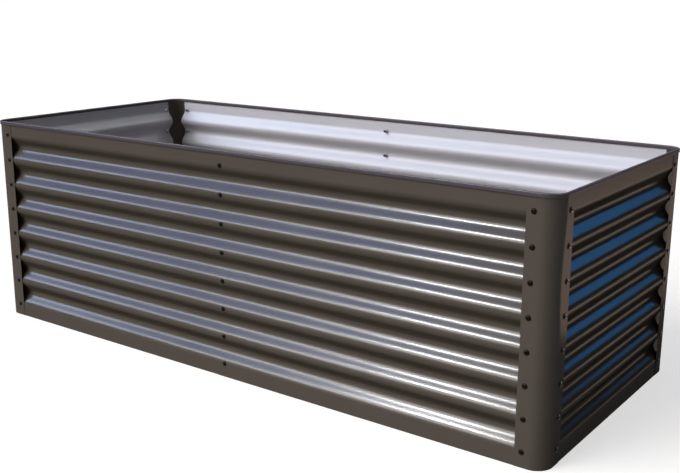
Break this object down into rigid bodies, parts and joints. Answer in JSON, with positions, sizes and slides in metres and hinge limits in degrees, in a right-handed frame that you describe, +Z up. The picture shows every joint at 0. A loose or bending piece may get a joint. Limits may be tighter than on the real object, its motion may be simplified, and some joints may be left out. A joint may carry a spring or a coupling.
{
  "type": "raised garden bed",
  "caption": "Rectangular raised garden bed: corrugated painted steel sides bolted to rounded corner posts, soft edging round the rim, open at the top and bottom.",
  "frame": {"origin": "on the ground, at the middle of the bed's outline", "axes": "+X along the long sides towards the right end, +Y across the bed from the front to the back, +Z up"},
  "size_m": [1.8468, 0.7748, 0.6099],
  "materials": {
    "painted_panel_steel": "semi-gloss taupe-grey paint on corrugated galvanised sheet, pale back coat inside",
    "painted_post_steel": "semi-gloss taupe-grey paint on bent galvanised sheet",
    "black_bolt_steel": "black coated bolt heads, glossy",
    "zinc_nut_steel": "bright zinc plate",
    "zinc_brace_steel": "zinc plated flat bar",
    "dark_edging_rubber": "smooth dark grey extruded edging, low sheen"
  },
  "bodies": {
    "root": {"front_left_panel": "painted_panel_steel", "front_right_panel": "painted_panel_steel", "back_left_panel": "painted_panel_steel", "back_right_panel": "painted_panel_steel", "left_end_panel": "painted_panel_steel", "right_end_panel": "painted_panel_steel", "front_left_post": "painted_post_steel", "front_right_post": "painted_post_steel", "back_right_post": "painted_post_steel", "back_left_post": "painted_post_steel", "front_seam_bolt_1": "black_bolt_steel", "front_seam_bolt_2": "black_bolt_steel", "front_seam_bolt_3": "black_bolt_steel", "front_seam_bolt_4": "black_bolt_steel", "front_seam_bolt_5": "black_bolt_steel", "front_seam_bolt_6": "black_bolt_steel", "front_seam_bolt_7": "black_bolt_steel", "front_seam_bolt_8": "black_bolt_steel", "back_seam_bolt_1": "black_bolt_steel", "back_seam_bolt_2": "black_bolt_steel", "back_seam_bolt_3": "black_bolt_steel", "back_seam_bolt_4": "black_bolt_steel", "back_seam_bolt_5": "black_bolt_steel", "back_seam_bolt_6": "black_bolt_steel", "back_seam_bolt_7": "black_bolt_steel", "back_seam_bolt_8": "black_bolt_steel", "front_seam_nut_1": "zinc_nut_steel", "front_seam_nut_2": "zinc_nut_steel", "front_seam_nut_3": "zinc_nut_steel", "front_seam_nut_4": "zinc_nut_steel", "front_seam_nut_5": "zinc_nut_steel", "front_seam_nut_6": "zinc_nut_steel", "front_seam_nut_7": "zinc_nut_steel", "front_seam_nut_8": "zinc_nut_steel", "back_seam_nut_1": "zinc_nut_steel", "back_seam_nut_2": "zinc_nut_steel", "back_seam_nut_3": "zinc_nut_steel", "back_seam_nut_4": "zinc_nut_steel", "back_seam_nut_5": "zinc_nut_steel", "back_seam_nut_6": "zinc_nut_steel", "back_seam_nut_7": "zinc_nut_steel", "back_seam_nut_8": "zinc_nut_steel", "lower_cross_brace": "zinc_brace_steel", "upper_cross_brace": "zinc_brace_steel", "rim_edging": "dark_edging_rubber"}
  },
  "joints": []
}
